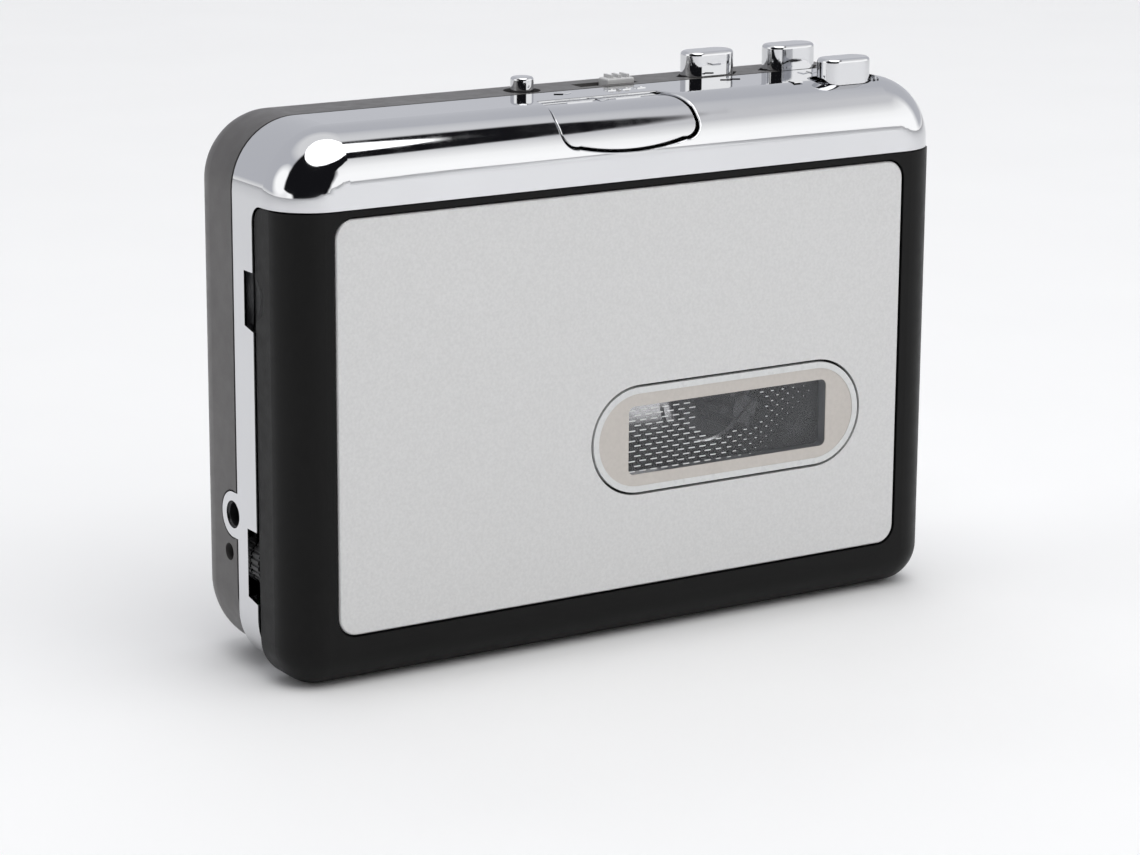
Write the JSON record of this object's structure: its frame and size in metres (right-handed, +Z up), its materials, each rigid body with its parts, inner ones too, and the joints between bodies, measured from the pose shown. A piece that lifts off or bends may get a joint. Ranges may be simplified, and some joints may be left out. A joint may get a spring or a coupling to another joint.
{
  "type": "portable cassette player",
  "caption": "Pocket cassette player with a windowed front door, push keys and a slide switch on top, and sockets and a volume wheel on one side.",
  "frame": {"origin": "middle of the base, on the surface the player stands on", "axes": "+Z up through the keys, +X to the right seen from the door, +Y from the door to the back"},
  "size_m": [0.114, 0.0306, 0.0847],
  "materials": {
    "chrome": "bright plated plastic",
    "silver_plastic": "satin silver",
    "grey_plastic": "fine satin texture",
    "black_plastic": "satin black",
    "silver_plate": "fine satin silver lacquer",
    "white_plastic": "gloss",
    "beige_print": "satin print",
    "clear_lens": "clear gloss",
    "steel": "satin",
    "deck_steel": "satin plated sheet",
    "brass": "turned",
    "motor_can": "plated",
    "head_metal": "polished",
    "deck_plastic": "satin black",
    "knob_plastic": "satin black",
    "spindle_plastic": "satin",
    "rubber": "matt",
    "board": "solder mask",
    "chip_plastic": "matt",
    "cell_wrap": "printed foil"
  },
  "bodies": {
    "chassis": {"chrome_frame": "chrome", "rear_shell": "grey_plastic", "deck_frame": "deck_plastic", "deck_plate": "deck_steel", "locating_pins": "steel", "hinge_pins": "steel", "capstan_bushes": "brass", "flywheel_bracket": "steel", "bracket_screws": "steel", "motor": "motor_can", "drive_belt": "rubber", "key_bracket": "steel", "switch_board": "board", "mode_switch_body": "steel", "direction_switch": "deck_plastic", "volume_pot": "board", "headphone_jack": "deck_plastic", "dc_jack": "deck_plastic", "main_board": "board", "board_parts": "chip_plastic", "battery_cells": "cell_wrap", "contact_plates": "steel", "contact_spring": "steel", "case_screws": "steel", "rewind_spring": "steel", "fast_forward_spring": "steel", "stop_spring": "steel"},
    "door": {"door_frame": "black_plastic", "door_plate": "silver_plate", "window_bezel": "white_plastic", "window_mask": "beige_print", "window_lens": "clear_lens", "cassette_springs": "steel"},
    "battery_door": {"battery_hatch": "grey_plastic"},
    "play": {"play_key": "chrome"},
    "stop": {"stop_key": "chrome"},
    "rewind": {"rewind_key": "chrome"},
    "fast_forward": {"fast_forward_key": "chrome"},
    "direction": {"direction_button": "chrome"},
    "mode_switch": {"mode_knob": "silver_plastic"},
    "volume": {"volume_wheel": "knob_plastic"},
    "reel_left": {"spindle_left": "spindle_plastic", "reel_disc_left": "spindle_plastic"},
    "reel_right": {"spindle_right": "spindle_plastic", "reel_disc_right": "spindle_plastic"},
    "fly_left": {"flywheel_left": "brass", "capstan_left": "steel"},
    "fly_right": {"flywheel_right": "brass", "capstan_right": "steel"},
    "motor_shaft": {"motor_pulley": "brass"},
    "clutch": {"clutch_pulley": "white_plastic"},
    "swing_arm": {"idler_arm": "steel"},
    "idler": {"idler_wheel": "white_plastic", "idler_tyre": "rubber"},
    "head_slide": {"head_base": "steel", "tape_head": "head_metal"},
    "arm_left": {"pinch_arm_left": "steel"},
    "arm_right": {"pinch_arm_right": "steel"},
    "roller_left": {"pinch_roller_left": "rubber"},
    "roller_right": {"pinch_roller_right": "rubber"}
  },
  "joints": [
    {"name": "door_hinge", "type": "hinge", "parent": "chassis", "child": "door", "pos_m": [0, -0.0089, 0.0014], "axis": [1, 0, 0], "range_deg": [0, 28]},
    {"name": "battery_door_slide", "type": "slide", "parent": "chassis", "child": "battery_door", "axis": [0, 0, -1], "range_m": [0, 0.004]},
    {"name": "play_press", "type": "slide", "parent": "chassis", "child": "play", "axis": [0, 0, -1], "range_m": [0, 0.003], "stiffness_N_per_m": 300},
    {"name": "stop_press", "type": "slide", "parent": "chassis", "child": "stop", "axis": [0, 0, -1], "range_m": [0, 0.0025], "stiffness_N_per_m": 300, "deforming": ["stop_spring"]},
    {"name": "rewind_press", "type": "slide", "parent": "chassis", "child": "rewind", "axis": [0, 0, -1], "range_m": [0, 0.0025], "stiffness_N_per_m": 300, "deforming": ["rewind_spring"]},
    {"name": "fast_forward_press", "type": "slide", "parent": "chassis", "child": "fast_forward", "axis": [0, 0, -1], "range_m": [0, 0.0025], "stiffness_N_per_m": 300, "deforming": ["fast_forward_spring"]},
    {"name": "direction_press", "type": "slide", "parent": "chassis", "child": "direction", "axis": [0, 0, -1], "range_m": [0, 0.0015], "stiffness_N_per_m": 300},
    {"name": "mode_slide", "type": "slide", "parent": "chassis", "child": "mode_switch", "axis": [-1, 0, 0], "range_m": [0, 0.0046]},
    {"name": "volume_turn", "type": "hinge", "parent": "chassis", "child": "volume", "pos_m": [-0.05245, -0.0029, 0.0168], "axis": [0, 1, 0], "range_deg": [-135, 135]},
    {"name": "reel_left_turn", "type": "hinge", "parent": "chassis", "child": "reel_left", "pos_m": [-0.01925, 0, 0.0315], "axis": [0, 1, 0], "continuous": true},
    {"name": "reel_right_turn", "type": "hinge", "parent": "chassis", "child": "reel_right", "pos_m": [0.02325, 0, 0.0315], "axis": [0, 1, 0], "continuous": true},
    {"name": "flywheel_left_turn", "type": "hinge", "parent": "chassis", "child": "fly_left", "pos_m": [-0.0245, 0, 0.0595], "axis": [0, 1, 0], "continuous": true},
    {"name": "flywheel_right_turn", "type": "hinge", "parent": "chassis", "child": "fly_right", "pos_m": [0.0285, 0, 0.0595], "axis": [0, 1, 0], "continuous": true},
    {"name": "motor_turn", "type": "hinge", "parent": "chassis", "child": "motor_shaft", "pos_m": [0.045, 0, 0.04], "axis": [0, 1, 0], "continuous": true},
    {"name": "clutch_turn", "type": "hinge", "parent": "chassis", "child": "clutch", "pos_m": [0.002, 0, 0.04], "axis": [0, 1, 0], "continuous": true},
    {"name": "idler_swing", "type": "hinge", "parent": "chassis", "child": "swing_arm", "pos_m": [0.002, 0, 0.04], "axis": [0, 1, 0], "range_deg": [-43, 43]},
    {"name": "idler_turn", "type": "hinge", "parent": "swing_arm", "child": "idler", "pos_m": [0.002, 0, 0.0312], "axis": [0, 1, 0], "continuous": true},
    {"name": "head_lift", "type": "slide", "parent": "chassis", "child": "head_slide", "axis": [0, 0, -1], "range_m": [0, 0.005]},
    {"name": "pinch_left_swing", "type": "hinge", "parent": "chassis", "child": "arm_left", "pos_m": [-0.012, -0.0026, 0.073], "axis": [0, -1, 0], "range_deg": [0, 26]},
    {"name": "pinch_right_swing", "type": "hinge", "parent": "chassis", "child": "arm_right", "pos_m": [0.016, -0.0026, 0.073], "axis": [0, 1, 0], "range_deg": [0, 26]},
    {"name": "roller_left_turn", "type": "hinge", "parent": "arm_left", "child": "roller_left", "pos_m": [-0.0265, -0.007, 0.0722], "axis": [0, 1, 0], "continuous": true},
    {"name": "roller_right_turn", "type": "hinge", "parent": "arm_right", "child": "roller_right", "pos_m": [0.0305, -0.007, 0.0722], "axis": [0, 1, 0], "continuous": true}
  ],
  "couplings": [
    {"joint": "flywheel_right_turn", "follows": "flywheel_left_turn", "ratio": -1},
    {"joint": "clutch_turn", "follows": "flywheel_left_turn", "ratio": 1.88},
    {"joint": "motor_turn", "follows": "flywheel_left_turn", "ratio": 3.9831},
    {"joint": "idler_turn", "follows": "flywheel_left_turn", "ratio": -1.0255},
    {"joint": "head_lift", "follows": "play_press", "ratio": 1.66},
    {"joint": "pinch_left_swing", "follows": "play_press", "rad_per_m": 151},
    {"joint": "pinch_right_swing", "follows": "play_press", "rad_per_m": 151}
  ]
}
